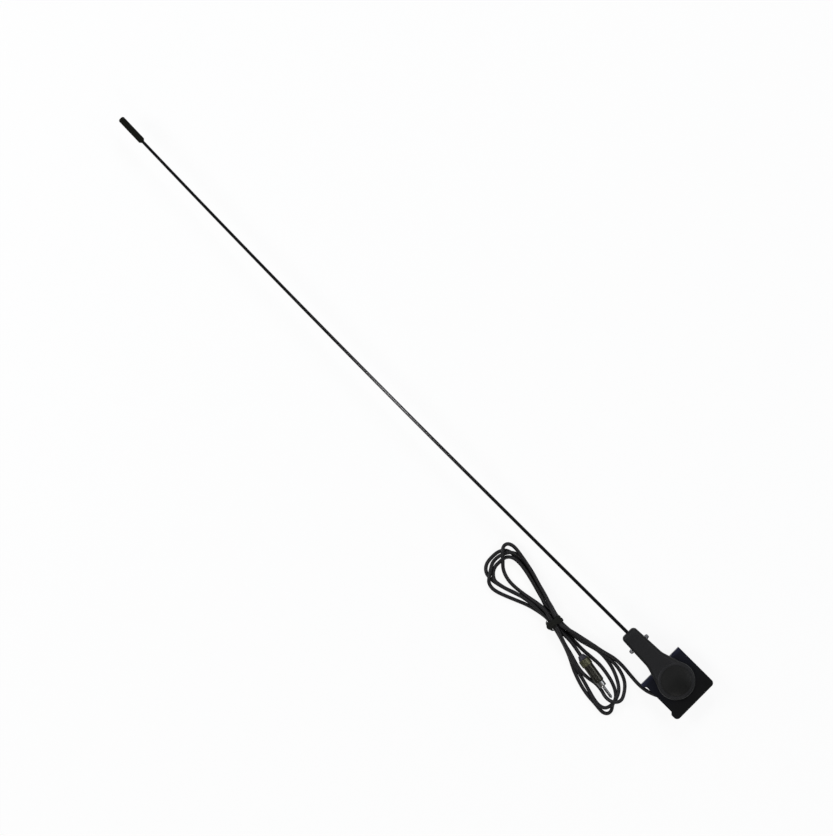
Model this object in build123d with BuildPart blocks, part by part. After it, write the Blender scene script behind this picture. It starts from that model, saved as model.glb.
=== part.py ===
"""Gutter mount antenna: a folded bracket that clamps on a car's rain gutter, a moulded arm that
turns on it, a steel whip mast in the arm, and a coaxial lead tied in a hank, with its plug.

Millimetres. The origin is the middle of the gutter seat, the inner face of the bracket's fold.
+Y runs along the arm and the mast, +X to the right, +Z up through the hub. The antenna lies on its
clamp screws and its coiled lead, as it lies on a table."""
import os
from math import cos, degrees, pi, radians, sin, tan

from build123d import *

os.makedirs("parts", exist_ok=True)

# Bracket: one folded steel plate
sheet = 2.5
slot_height = 8.0
plate_left = 29.3
plate_right = 27.3
plate_depth = 54.0
lip_depth = 11.0
fold_inside_r = 0.5
plate_corner_r = 4.5
relief_depth = 2.5
relief_near = 3.5
relief_from_edge = 11.0

# Clamp screws: slotted, cup point, in tapped holes of the back leg
clamp_screw_r = 2.5
clamp_screw_length = 8.0
clamp_screw_stand = 2.5
clamp_screw_spread = 30.0
clamp_screw_setback = 6.0
clamp_cup_depth = 0.6
clamp_slot_width = 0.8
clamp_slot_depth = 1.2
clamp_chamfer = 0.4
clamp_cup_r = 1.6
clamp_cup_drill_r = 0.4
clamp_cup_angle = 118

# Pivot and the pieces that it holds together
pivot_setback = 20.0
pivot_r = 2.5
pivot_play = 0.06
pivot_head_r = 4.75
pivot_head_height = 3.4
pivot_slot_width = 1.2
pivot_head_round = 1.4
pivot_end_chamfer = 0.5
washer_r = 6.0
washer_thickness = 1.0
bush_sleeve_r = 3.6
bush_flange_r = 5.1
bush_flange_thickness = 1.2
lug_r = 4.6
lug_thickness = 0.6
lug_tongue_length = 3.0
lug_tongue_width = 2.6
lug_turn = 30.0
spring_washer_r = 4.4
spring_washer_thickness = 1.0
spring_split = 0.5
spring_split_turn = 20
nut_flats = 8.0
nut_height = 4.0
thread_past_nut = 0.8
fit_gap = 0.05

# Hub and arm: one moulding
gasket_thickness = 1.5
gasket_inset = 0.7
hub_r = 20.5
hub_height = 13.5
hub_rim_r = 3.5
cap_seat_r = 16.4
cap_seat_depth = 2.2
cap_wall = 1.9
cap_rise = 2.3
head_pocket_r = 6.6
head_pocket_floor = 6.0
arm_reach = 72.4
arm_root_width = 22.2
arm_end_width = 18.6
arm_height = 12.6
arm_top_r = 4.2
arm_corner_r = 4.6
arm_shoulder_r = 20.0
flare_angle = 18.0
flare_inset = 0.3

# Whip mast, its tip and what holds it in the arm
mast_length = 787.4
mast_inserted = 23.4
mast_base_r = 1.95
mast_tip_r = 1.63
mast_height = 5.8
mast_straight = 241.0
mast_tip_drift = 8.0
mast_steps = 8
tip_r = 3.5
tip_length = 34.5
tip_cone = 2.0
tip_round = 2.4
tip_end_wall = 4.5
tip_play = 0.08
socket_r = 4.0
socket_back_wall = 2.0
socket_front_skin = 1.6
strip_width = 4.0
strip_thickness = 0.5
strip_ring_r = 5.0
lock_screw_r = 1.5
lock_screw_back = 17.5
lock_head_r = 2.7
lock_head_end_r = 1.6
lock_head_height = 3.1
lock_head_shoulder_r = 2.35
lock_point = 0.5

# Rear cover: a shallow moulded box over the nut and the cable's end
cover_width = 25.0
cover_near = 13.4
cover_far = 38.0
cover_wall = 1.2
cover_corner_r = 3.0
cover_height = 9.2
cover_post_r = 2.4
cover_post_inset = 4.6
cover_screw_r = 1.2
cover_screw_head_r = 2.2
rivet_r = 1.5
rivet_head_r = 2.6
rivet_head_height = 1.0
rivet_x = -0.5
rivet_back = 32.5
ground_lug_r = 3.0
ground_lug_thickness = 0.5
ground_tongue_length = 3.9
ground_tongue_width = 2.2
cover_edge_r = 1.0
countersink = 90

# Coaxial lead
cable_d = 4.0
cable_core_r = 0.4
cable_insulation_r = 1.2
cable_strip = 1.6
grommet_wall = 0.9
grommet_lip = 0.8
spout_wall = 1.2
spout_length = 7.0

# The hank: two lobes of turns, tied where they cross
hank_low_height = 5.0
hank_top_height = 8.2
hank_waist_height = 12.0
tie_width = 5.0
tie_thickness = 1.1
tie_play = 0.1
tie_corner_r = 1.5
tie_knot_reach = 3.2
tie_knot_height = 3.0
tie_knot_corner_r = 1.2
tie_knot_above = 2.0
tie_knot_width = 4.0

# Plug on the far end
plug_collar_r = 6.2
boot_length = 5.2
boot_r = 5.0
boot_mouth_r = 3.2
boot_shoulder = 1.0
collar_length = 8.0
collar_groove = 0.35
collar_grooves = 5
collar_chamfer = 0.5
shell_r = 5.3
shell_wall = 0.9
shell_length = 21.5
shell_nose = 1.2
shell_nose_r = 4.5
sleeve_r = 4.1
sleeve_wall = 0.6
sleeve_length = 8.0
sleeve_tucked = 2.0
sleeve_slit = 0.7
sleeve_nose = 1.0
sleeve_nose_r = 3.7
pin_r = 1.6
pin_root_r = 1.2
pin_length = 15.2
pin_tip_round = 1.2
insulator_behind = 6.0
insulator_sunk = 0.5

# Levels above the middle of the slot
plate_back = slot_height / 2
plate_front = plate_back + sheet
table = -(plate_front + clamp_screw_stand)
hub_bottom = plate_front + gasket_thickness
hub_top = hub_bottom + hub_height
cap_floor = hub_top - cap_seat_depth
pocket_floor = hub_bottom + head_pocket_floor
mast_z = hub_bottom + mast_height
strip_top = mast_z - socket_r

# Places in the plan
pivot_y = -pivot_setback
plate_edge_y = sheet - plate_depth
relief_far_y = plate_edge_y + relief_from_edge
plate_mid_x = (plate_right - plate_left) / 2
arm_end_y = pivot_y + arm_reach
mast_root_y = arm_end_y - mast_inserted
lock_screw_y = arm_end_y - lock_screw_back
bush_bottom = plate_back - bush_flange_thickness
lug_bottom = bush_bottom - lug_thickness
nut_top = lug_bottom - spring_washer_thickness
nut_bottom = nut_top - nut_height
pivot_end = nut_bottom - thread_past_nut
cover_post_x = cover_width / 2 - cover_post_inset
cover_posts = (
    (cover_post_x, cover_post_inset - cover_far),
    (-cover_post_x, -cover_near - cover_post_inset),
)

# Planes that stand on the pivot and on the mast's axis
pivot_axis = Axis((0, pivot_y, 0), (0, 0, 1))
pivot_section = Plane(origin=(0, pivot_y, 0), x_dir=(1, 0, 0), z_dir=(0, -1, 0))


def pivot_plane(level):
    """A level plane centred on the pivot."""
    return Plane(origin=(0, pivot_y, level), z_dir=(0, 0, 1))


def save(piece, name):
    """Labels a finished piece and writes it under its own name."""
    piece.part.label = name
    export_step(piece.part, f"parts/{name}.step")


# Gutter bracket: a plate folded back under itself, with a relief in its left edge for the cable
fold_outside_r = fold_inside_r + sheet
with BuildPart() as gutter_bracket:
    with BuildSketch(Plane.YZ.offset(-plate_left)):
        with BuildLine():
            Polyline(
                (plate_edge_y, plate_front),
                (sheet, plate_front),
                (sheet, -plate_front),
                (-lip_depth, -plate_front),
                (-lip_depth, -plate_back),
                (0, -plate_back),
                (0, plate_back),
                (plate_edge_y, plate_back),
                close=True,
            )
        face = make_face()
        inner = [v for v in face.vertices() if abs(v.Y) < plate_front - 0.1 and abs(v.X) < 0.01]
        outer = [v for v in face.vertices() if abs(v.X - sheet) < 0.01]
        fillet(inner, fold_inside_r)
        fillet(outer, fold_outside_r)
    extrude(amount=plate_left + plate_right)
    with BuildSketch(Plane.XY.offset(-plate_front)):
        with BuildLine():
            Polyline(
                (-plate_left - 1, -relief_near + relief_depth),
                (-plate_left, -relief_near + relief_depth),
                (-plate_left + relief_depth, -relief_near),
                (-plate_left + relief_depth, relief_far_y),
                (-plate_left, relief_far_y - relief_depth),
                (-plate_left - 1, relief_far_y - relief_depth),
                close=True,
            )
        make_face()
    extrude(amount=2 * plate_front, mode=Mode.SUBTRACT)
    free_corners = gutter_bracket.edges().filter_by(Axis.Z).group_by(Axis.Y)[0]
    fillet(free_corners, plate_corner_r)
    with Locations(pivot_plane(plate_front)):
        Hole(bush_sleeve_r + fit_gap, depth=sheet)
    with Locations(Plane.XY.offset(-plate_back)):
        with Locations((plate_mid_x, -clamp_screw_setback)):
            with GridLocations(clamp_screw_spread, 1, 2, 1):
                Hole(clamp_screw_r + fit_gap, depth=sheet)
    with Locations((rivet_x, -rivet_back, plate_front)):
        Hole(rivet_r + fit_gap, depth=sheet)
    for post_x, post_y in cover_posts:
        with Locations((post_x, post_y, plate_front)):
            Hole(cover_screw_r + fit_gap, depth=sheet)
save(gutter_bracket, "gutter_bracket")

# Clamp screws: they press the gutter's lip against the plate
for name, side in (("clamp_screw_left", -1), ("clamp_screw_right", 1)):
    screw_x = plate_mid_x + side * clamp_screw_spread / 2
    screw_foot = Plane(origin=(screw_x, -clamp_screw_setback, table))
    with BuildPart() as clamp_screw:
        with BuildSketch(screw_foot):
            Circle(clamp_screw_r)
        extrude(amount=clamp_screw_length)
        chamfer(clamp_screw.edges().filter_by(GeomType.CIRCLE), clamp_chamfer)
        with BuildSketch(screw_foot):
            Rectangle(3 * clamp_screw_r, clamp_slot_width)
        extrude(amount=clamp_slot_depth, mode=Mode.SUBTRACT)
        with Locations(screw_foot.offset(clamp_screw_length)):
            CounterSinkHole(
                clamp_cup_drill_r, clamp_cup_r, depth=clamp_cup_depth + 1, counter_sink_angle=clamp_cup_angle
            )
    save(clamp_screw, name)

# Gasket between the plate and the turning hub
with BuildPart() as hub_gasket:
    with BuildSketch(pivot_plane(plate_front)):
        Circle(hub_r - gasket_inset)
        Circle(bush_sleeve_r + fit_gap, mode=Mode.SUBTRACT)
    extrude(amount=gasket_thickness)
save(hub_gasket, "hub_gasket")

# Arm: the hub's rounded disc runs out in a flared, tapered neck that holds the mast
flare_r = hub_r - flare_inset
flare_x = flare_r * cos(radians(flare_angle))
flare_y = pivot_y + flare_r * sin(radians(flare_angle))
shoulder_x = arm_root_width / 2
shoulder_y = flare_y + (flare_x - shoulder_x) / tan(radians(flare_angle))
end_x = arm_end_width / 2
with BuildPart() as mast_arm:
    with BuildSketch(Plane.XY.offset(hub_bottom)) as neck_outline:
        with BuildLine():
            Polyline(
                (flare_x, flare_y),
                (shoulder_x, shoulder_y),
                (end_x, arm_end_y),
                (-end_x, arm_end_y),
                (-shoulder_x, shoulder_y),
                (-flare_x, flare_y),
                close=True,
            )
        make_face()
        fillet(neck_outline.vertices().group_by(Axis.Y)[-1], arm_corner_r)
        shoulders = [v for v in neck_outline.vertices() if abs(v.Y - shoulder_y) < 0.01]
        fillet(shoulders, arm_shoulder_r)
    extrude(amount=arm_height)
    top_edges = mast_arm.faces().sort_by(Axis.Z)[-1].edges()
    fillet(top_edges.filter_by(lambda e: e.center().Y > flare_y + 0.1), arm_top_r)
    with BuildSketch(pivot_section):
        with BuildLine():
            Polyline(
                (hub_r - hub_rim_r, hub_top),
                (0, hub_top),
                (0, hub_bottom),
                (hub_r, hub_bottom),
                (hub_r, hub_top - hub_rim_r),
            )
            RadiusArc((hub_r, hub_top - hub_rim_r), (hub_r - hub_rim_r, hub_top), -hub_rim_r)
        make_face()
    revolve(axis=pivot_axis)
    with BuildSketch(pivot_plane(cap_floor)):
        Circle(cap_seat_r)
    extrude(amount=cap_seat_depth + 1, mode=Mode.SUBTRACT)
    with BuildSketch(pivot_plane(pocket_floor)):
        Circle(head_pocket_r)
    extrude(amount=cap_floor - pocket_floor, mode=Mode.SUBTRACT)
    with BuildSketch(pivot_plane(strip_top)):
        Circle(pivot_r + pivot_play)
    extrude(amount=pocket_floor - strip_top, mode=Mode.SUBTRACT)
    with BuildSketch(pivot_plane(hub_bottom)):
        Circle(strip_ring_r + fit_gap)
        with Locations((0, (mast_root_y - pivot_y) / 2)):
            Rectangle(strip_width + 2 * fit_gap, mast_root_y - pivot_y)
    extrude(amount=strip_top - hub_bottom, mode=Mode.SUBTRACT)
    with BuildSketch(Plane.XZ.offset(-arm_end_y)):
        with Locations((0, mast_z)):
            Circle(mast_base_r + fit_gap)
    extrude(amount=socket_front_skin, mode=Mode.SUBTRACT)
    with BuildSketch(Plane.XZ.offset(-arm_end_y + socket_front_skin)):
        with Locations((0, mast_z)):
            Circle(socket_r)
    extrude(amount=mast_inserted - socket_front_skin + socket_back_wall, mode=Mode.SUBTRACT)
    with BuildSketch(Plane.YZ):
        with Locations((lock_screw_y, mast_z)):
            Circle(lock_screw_r + fit_gap)
    extrude(amount=hub_r, both=True, mode=Mode.SUBTRACT)
save(mast_arm, "mast_arm")

# Brass socket moulded in the neck, bored for the mast and cross-drilled for its two screws
with BuildPart() as mast_socket:
    with BuildSketch(Plane.XZ.offset(-arm_end_y + socket_front_skin)):
        with Locations((0, mast_z)):
            Circle(socket_r)
    extrude(amount=mast_inserted - socket_front_skin + socket_back_wall)
    with BuildSketch(Plane.XZ.offset(-arm_end_y + socket_front_skin)):
        with Locations((0, mast_z)):
            Circle(mast_base_r + fit_gap)
    extrude(amount=mast_inserted - socket_front_skin, mode=Mode.SUBTRACT)
    with BuildSketch(Plane.YZ):
        with Locations((lock_screw_y, mast_z)):
            Circle(lock_screw_r + fit_gap)
    extrude(amount=2 * socket_r, both=True, mode=Mode.SUBTRACT)
save(mast_socket, "mast_socket")

# Contact strip: from the socket along the neck to a ring round the pivot screw
with BuildPart() as contact_strip:
    with BuildSketch(pivot_plane(strip_top - strip_thickness)):
        Circle(strip_ring_r)
        with Locations((0, (mast_root_y - pivot_y) / 2)):
            Rectangle(strip_width, mast_root_y - pivot_y)
        Circle(pivot_r + pivot_play, mode=Mode.SUBTRACT)
    extrude(amount=strip_thickness)
save(contact_strip, "contact_strip")

# Whip mast: straight out of the arm, then bowed a little to the right, and tapered
whip_length = mast_length - tip_end_wall
bowed_length = whip_length - mast_straight
bow_r = bowed_length**2 / (2 * mast_tip_drift)
with BuildLine(Plane.XY.offset(mast_z)) as mast_path:
    Line((0, mast_root_y), (0, mast_root_y + mast_straight))
    JernArc((0, mast_root_y + mast_straight), (0, 1), bow_r, -degrees(bowed_length / bow_r))


def mast_radius(along):
    """The mast's radius a way along it: even inside the arm, then an even taper to its end."""
    share = max(0.0, along - mast_inserted) / (whip_length - mast_inserted)
    return mast_base_r + (mast_tip_r - mast_base_r) * share


mast_stations = [0, mast_inserted, mast_straight]
mast_stations += [mast_straight + bowed_length * step / mast_steps for step in range(1, mast_steps + 1)]
with BuildPart() as mast_whip:
    for along in mast_stations:
        here = along / whip_length
        with BuildSketch(Plane(origin=mast_path.line @ here, z_dir=mast_path.line % here)):
            Circle(mast_radius(along))
    loft(ruled=True)
save(mast_whip, "mast_whip")

# Tip: a moulded cap pushed on the mast's end
tip_inside = tip_length - tip_end_wall
tip_origin = mast_path.line @ 1
tip_along = mast_path.line % 1
tip_plane = Plane(origin=tip_origin, x_dir=tip_along, z_dir=(0, 0, 1))
tip_bore_r = mast_radius(whip_length - tip_inside) + tip_play
with BuildPart() as mast_tip:
    with BuildSketch(tip_plane):
        with BuildLine():
            Polyline(
                (0, 0),
                (0, tip_bore_r),
                (-tip_inside, tip_bore_r),
                (-tip_inside + tip_cone, tip_r),
                (tip_end_wall - tip_round, tip_r),
            )
            RadiusArc((tip_end_wall - tip_round, tip_r), (tip_end_wall, tip_r - tip_round), tip_round)
            Polyline((tip_end_wall, tip_r - tip_round), (tip_end_wall, 0), (0, 0))
        make_face()
    revolve(axis=Axis(tip_origin, tip_along))
save(mast_tip, "mast_tip")

# Lock screws: from both sides of the neck on to the mast
neck_slope = (arm_root_width - arm_end_width) / 2 / (arm_end_y - shoulder_y)
neck_side = end_x + neck_slope * (lock_screw_back + lock_head_r)
for name, side in (("mast_lock_screw_left", -1), ("mast_lock_screw_right", 1)):
    with BuildPart() as lock_screw:
        with BuildSketch(Plane(origin=(0, lock_screw_y, mast_z), x_dir=(side, 0, 0), z_dir=(0, 0, 1))):
            with BuildLine():
                Polyline(
                    (mast_base_r, 0),
                    (mast_base_r, lock_screw_r - lock_point),
                    (mast_base_r + lock_point, lock_screw_r),
                    (neck_side, lock_screw_r),
                    (neck_side, lock_head_r),
                    (neck_side + 0.6 * lock_head_height, lock_head_shoulder_r),
                    (neck_side + lock_head_height, lock_head_end_r),
                    (neck_side + lock_head_height, 0),
                    close=True,
                )
            make_face()
        revolve(axis=Axis((0, lock_screw_y, mast_z), (1, 0, 0)))
    save(lock_screw, name)

# Hub cap: a domed disc pressed in the hub's seat
cap_r = cap_seat_r - fit_gap
cap_edge = cap_floor + cap_wall
dome_r = (cap_r**2 + cap_rise**2) / (2 * cap_rise)
with BuildPart() as hub_cap:
    with BuildSketch(pivot_section):
        with BuildLine():
            Polyline((0, cap_edge + cap_rise), (0, cap_floor), (cap_r, cap_floor), (cap_r, cap_edge))
            RadiusArc((cap_r, cap_edge), (0, cap_edge + cap_rise), -dome_r)
        make_face()
    revolve(axis=pivot_axis)
save(hub_cap, "hub_cap")

# Pivot screw, with the washer that its head turns on
with BuildPart() as pivot_washer:
    with BuildSketch(pivot_plane(pocket_floor)):
        Circle(washer_r)
        Circle(pivot_r + fit_gap, mode=Mode.SUBTRACT)
    extrude(amount=washer_thickness)
save(pivot_washer, "pivot_washer")

head_bottom = pocket_floor + washer_thickness
with BuildPart() as pivot_screw:
    with BuildSketch(pivot_plane(pivot_end)):
        Circle(pivot_r)
    extrude(amount=head_bottom - pivot_end)
    with BuildSketch(pivot_plane(head_bottom)):
        Circle(pivot_head_r)
    extrude(amount=pivot_head_height)
    fillet(pivot_screw.edges().group_by(Axis.Z)[-1], pivot_head_round)
    chamfer(pivot_screw.edges().group_by(Axis.Z)[0], pivot_end_chamfer)
    with BuildSketch(pivot_plane(head_bottom + pivot_head_height)):
        Rectangle(3 * pivot_head_r, pivot_slot_width)
    extrude(amount=-pivot_head_height / 2, mode=Mode.SUBTRACT)
save(pivot_screw, "pivot_screw")

# Bush that keeps the live screw off the earthed plate
with BuildPart() as insulating_bush:
    with BuildSketch(pivot_plane(bush_bottom)):
        Circle(bush_flange_r)
    extrude(amount=bush_flange_thickness)
    with BuildSketch(pivot_plane(plate_back)):
        Circle(bush_sleeve_r)
    extrude(amount=hub_bottom - plate_back - fit_gap)
    with Locations(pivot_plane(hub_bottom - fit_gap)):
        Hole(pivot_r + fit_gap)
save(insulating_bush, "insulating_bush")

# Route of the lead from the spout over the table and up on the tied waist of the hank, and of the
# tail from the waist down to the plug
lie = table + cable_d / 2
lead_route = [
    (-17.8, -26.1, -0.6),
    (-24.0, -20.4, -0.6),
    (-28.0, -13.7, -1.2),
    (-31.0, -5.5, -2.6),
    (-32.0, 5.5, -4.9),
    (-30.9, 17.5, lie),
    (-28.5, 30.5, -6.6),
    (-29.2, 44.5, -4.4),
    (-32.5, 59.5, -1.6),
    (-36.3, 74.5, -1.2),
    (-40.9, 86.6, -1.1),
    (-40.9, 96.6, -1.1),
]
tail_route = [
    (-49.4, 96.6, -1.8),
    (-49.4, 88.6, -1.8),
    (-50.8, 78.6, table + plug_collar_r),
    (-52.2, 69.7, table + plug_collar_r),
]
exit_point = Vector(*lead_route[0])
exit_dir = (Vector(*lead_route[1]) - exit_point).normalized()

# Core terminal: a ring lug under the nut, with its tongue towards the cable
lug_dir = (-sin(radians(lug_turn)), -cos(radians(lug_turn)), 0)
with BuildPart() as core_terminal:
    with BuildSketch(Plane(origin=(0, pivot_y, lug_bottom), x_dir=lug_dir, z_dir=(0, 0, 1))):
        Circle(lug_r)
        with Locations(((lug_r + lug_tongue_length) / 2, 0)):
            Rectangle(lug_r + lug_tongue_length, lug_tongue_width)
        Circle(pivot_r + fit_gap, mode=Mode.SUBTRACT)
    extrude(amount=lug_thickness)
save(core_terminal, "core_terminal")

with BuildPart() as spring_washer:
    with BuildSketch(pivot_plane(nut_top)):
        Circle(spring_washer_r)
        Circle(pivot_r + fit_gap, mode=Mode.SUBTRACT)
        with Locations((spring_washer_r, 0)):
            Rectangle(2 * spring_washer_r, spring_split, rotation=spring_split_turn, mode=Mode.SUBTRACT)
    extrude(amount=spring_washer_thickness)
save(spring_washer, "spring_washer")

with BuildPart() as pivot_nut:
    with BuildSketch(pivot_plane(nut_bottom)):
        RegularPolygon(nut_flats / 2, 6, major_radius=False)
        Circle(pivot_r + fit_gap, mode=Mode.SUBTRACT)
    extrude(amount=nut_height)
save(pivot_nut, "pivot_nut")

# Earth terminal for the cable's braid, riveted to the plate
ground_bottom = plate_back - ground_lug_thickness
with BuildPart() as ground_terminal:
    with BuildSketch(Plane(origin=(rivet_x, -rivet_back, ground_bottom), x_dir=(-1, 0, 0), z_dir=(0, 0, 1))):
        Circle(ground_lug_r)
        with Locations(((ground_lug_r + ground_tongue_length) / 2, 0)):
            Rectangle(ground_lug_r + ground_tongue_length, ground_tongue_width)
        Circle(rivet_r + fit_gap, mode=Mode.SUBTRACT)
    extrude(amount=ground_lug_thickness)
save(ground_terminal, "ground_terminal")

with BuildPart() as ground_rivet:
    with BuildSketch(Plane(origin=(rivet_x, -rivet_back, ground_bottom))):
        Circle(rivet_r)
    extrude(amount=plate_front - ground_bottom)
    with BuildSketch(Plane(origin=(rivet_x, -rivet_back, ground_bottom - rivet_head_height))):
        Circle(rivet_head_r)
    extrude(amount=rivet_head_height)
    fillet(ground_rivet.edges().group_by(Axis.Z)[0], 0.7 * rivet_head_height)
save(ground_rivet, "ground_rivet")

# Rear cover, open towards the plate, with two screw posts and a slanted spout for the cable
cover_mid_y = -(cover_near + cover_far) / 2
cover_length = cover_far - cover_near
cover_bottom = plate_back - cover_height
grommet_r = cable_d / 2 + fit_gap + grommet_wall
spout_r = grommet_r + spout_wall
spout_end = exit_point - exit_dir * grommet_lip
spout_plane = Plane(origin=spout_end, z_dir=exit_dir)
with BuildPart() as rear_cover:
    with BuildSketch(Plane(origin=(0, cover_mid_y, cover_bottom))):
        RectangleRounded(cover_width, cover_length, cover_corner_r)
    extrude(amount=cover_height)
    fillet(rear_cover.edges().group_by(Axis.Z)[0], cover_edge_r)
    with BuildSketch(spout_plane):
        Circle(spout_r)
    extrude(amount=-spout_length - 2 * spout_wall)
    with BuildSketch(Plane(origin=(0, cover_mid_y, cover_bottom + cover_wall))):
        RectangleRounded(
            cover_width - 2 * cover_wall, cover_length - 2 * cover_wall, cover_corner_r - cover_wall
        )
    extrude(amount=cover_height, mode=Mode.SUBTRACT)
    with BuildSketch(Plane.XY.offset(cover_bottom + cover_wall / 2)):
        with Locations(*cover_posts):
            Circle(cover_post_r)
    extrude(amount=cover_height - cover_wall / 2)
    with BuildSketch(spout_plane):
        Circle(grommet_r + fit_gap)
    extrude(amount=-spout_length - 2 * spout_wall, mode=Mode.SUBTRACT)
    for post_x, post_y in cover_posts:
        with Locations(Plane(origin=(post_x, post_y, cover_bottom), z_dir=(0, 0, -1))):
            CounterSinkHole(
                cover_screw_r + fit_gap, cover_screw_head_r + fit_gap, counter_sink_angle=countersink
            )
save(rear_cover, "rear_cover")

# Two countersunk screws that hold the cover to the plate
with BuildPart() as cover_screws:
    for post_x, post_y in cover_posts:
        post = (post_x, post_y, 0)
        with BuildSketch(Plane(origin=post, x_dir=(1, 0, 0), z_dir=(0, -1, 0))):
            with BuildLine():
                Polyline(
                    (0, cover_bottom),
                    (cover_screw_head_r, cover_bottom),
                    (cover_screw_r, cover_bottom + cover_screw_head_r - cover_screw_r),
                    (cover_screw_r, plate_front),
                    (0, plate_front),
                    close=True,
                )
            make_face()
        revolve(axis=Axis(post, (0, 0, 1)))
save(cover_screws, "cover_screws")

# Grommet in the spout, and the stripped end of the lead inside it
with BuildPart() as cable_grommet:
    with BuildSketch(spout_plane):
        Circle(grommet_r)
    extrude(amount=-spout_length)
    with BuildSketch(spout_plane):
        Circle(spout_r)
    extrude(amount=grommet_lip)
    with BuildSketch(spout_plane.offset(grommet_lip)):
        Circle(cable_d / 2 + fit_gap)
    extrude(amount=-spout_length - grommet_lip, mode=Mode.SUBTRACT)
save(cable_grommet, "cable_grommet")

exit_plane = Plane(origin=exit_point, z_dir=exit_dir)
with BuildPart() as cable_end:
    with BuildSketch(exit_plane):
        Circle(cable_d / 2)
    extrude(amount=-spout_length - grommet_lip)
    with BuildSketch(exit_plane.offset(-spout_length - grommet_lip)):
        Circle(cable_insulation_r)
    extrude(amount=-cable_strip)
    with BuildSketch(exit_plane.offset(-spout_length - grommet_lip - cable_strip)):
        Circle(cable_core_r)
    extrude(amount=-cable_strip)
save(cable_end, "cable_end")


def bend_radii(route):
    """Each corner's arc: 0.45 of its shorter run, divided by the tangent of half the turn."""
    points = [Vector(*p) for p in route]
    radii = []
    for before, corner, after in zip(points, points[1:], points[2:]):
        into, out = corner - before, after - corner
        half_turn = radians(into.get_angle(out)) / 2
        radii.append(0.45 * min(into.length, out.length) / tan(half_turn))
    return radii


def cable_tube(route, name):
    """A round tube along a route of straight runs joined by tangent arcs."""
    radii = bend_radii(route)
    with BuildPart() as tube:
        with BuildLine() as line:
            FilletPolyline(*route, radius=radii)
        path = line.wires()[0]
        with BuildSketch(Plane(origin=path @ 0, z_dir=path % 0)):
            Circle(cable_d / 2)
        sweep(path=path)
    share = tube.part.volume / (pi * cable_d**2 / 4 * path.length)
    print(f"{name}: length {path.length:.1f} mm, volume over section times length {share:.4f}")
    print(f"{name}: bend radii", [round(r, 1) for r in radii])
    save(tube, name)


cable_tube(lead_route, "cable_lead")

# The hank: a flat lower lobe round the plug, a taller upper lobe, and the tied waist between them
low_outside = [
    (-47.6, 104.0), (-55.1, 96.7), (-62.3, 76.8), (-72.5, 58.9), (-78.7, 38.9), (-80.4, 23.9),
    (-79.0, 10.0), (-69.0, 4.3), (-49.0, 5.7), (-37.6, 15.0), (-31.9, 32.5), (-33.2, 50.0),
    (-36.2, 72.0), (-39.2, 96.6),
]
low_inside = [
    (-49.8, 88.5), (-53.6, 83.0), (-59.8, 69.0), (-63.6, 48.0), (-65.0, 24.8), (-64.6, 13.0),
    (-61.5, 9.4), (-56.6, 13.5), (-50.6, 24.0), (-47.0, 42.0), (-46.2, 68.6), (-46.8, 83.0),
]
top_outside = [
    (-43.6, 123.5), (-50.8, 129.5), (-53.2, 138.7), (-60.3, 158.7), (-68.8, 180.9), (-66.5, 194.0),
    (-57.0, 208.0), (-43.0, 212.1), (-24.1, 210.9), (-18.2, 200.0), (-22.5, 176.0), (-31.7, 144.5),
    (-36.3, 129.5),
]
top_inside = [
    (-42.0, 138.6), (-46.2, 156.6), (-47.9, 176.7), (-44.8, 187.6), (-37.2, 197.6), (-29.8, 188.0),
    (-31.4, 171.5), (-37.6, 149.6),
]
waist_bottom = table + tie_thickness + tie_play
waist_start = (-54.9, -39.2, lead_route[-1][1])
waist_low = (-53.3, -40.9, 106.0)
waist_high = (-50.7, -38.3, 122.0)
waist_end = (-50.6, -36.6, 129.0)
waist_sections = (waist_start, waist_low, waist_high, waist_end)
with BuildPart() as cable_hank:
    with BuildSketch(Plane.XY.offset(table)):
        with BuildLine():
            Spline(*low_outside, periodic=True)
        make_face()
        with BuildLine():
            Spline(*low_inside, periodic=True)
        make_face(mode=Mode.SUBTRACT)
    extrude(amount=hank_low_height)
    with BuildSketch(Plane.XY.offset(table)):
        with BuildLine():
            Spline(*top_outside, periodic=True)
        make_face()
        with BuildLine():
            Spline(*top_inside, periodic=True)
        make_face(mode=Mode.SUBTRACT)
    extrude(amount=hank_top_height)
    with BuildSketch(Plane.XY.offset(waist_bottom)):
        with BuildLine():
            right_side = [(right, y) for left, right, y in waist_sections]
            left_side = [(left, y) for left, right, y in reversed(waist_sections)]
            Polyline(*right_side, *left_side, close=True)
        make_face()
    extrude(amount=hank_waist_height)
save(cable_hank, "cable_hank")

# Tie: a soft band round the waist, its twisted ends on the left
waist_mid = Vector(
    (waist_low[0] + waist_low[1] + waist_high[0] + waist_high[1]) / 4,
    (waist_low[2] + waist_high[2]) / 2,
    waist_bottom + hank_waist_height / 2,
)
waist_run = Vector(waist_high[0] - waist_low[0], waist_high[2] - waist_low[2], 0).normalized()
waist_width = (waist_low[1] - waist_low[0]) * waist_run.Y
tie_side = Vector(waist_run.Y, -waist_run.X, 0)
tie_plane = Plane(origin=waist_mid - waist_run * (tie_width / 2), x_dir=tie_side, z_dir=waist_run)
tie_inner = (waist_width + 2 * tie_play, hank_waist_height + 2 * tie_play)
tie_outer = (tie_inner[0] + 2 * tie_thickness, tie_inner[1] + 2 * tie_thickness)
with BuildPart() as hank_tie:
    with BuildSketch(tie_plane):
        RectangleRounded(*tie_outer, tie_corner_r)
        Rectangle(*tie_inner, mode=Mode.SUBTRACT)
    extrude(amount=tie_width)
    with BuildSketch(tie_plane.offset(tie_width - tie_knot_width)):
        with Locations(((-tie_outer[0] - tie_knot_reach + tie_thickness) / 2, tie_knot_above)):
            RectangleRounded(tie_knot_reach + tie_thickness / 2, tie_knot_height, tie_knot_corner_r)
    extrude(amount=tie_knot_width)
save(hank_tie, "hank_tie")

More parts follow.
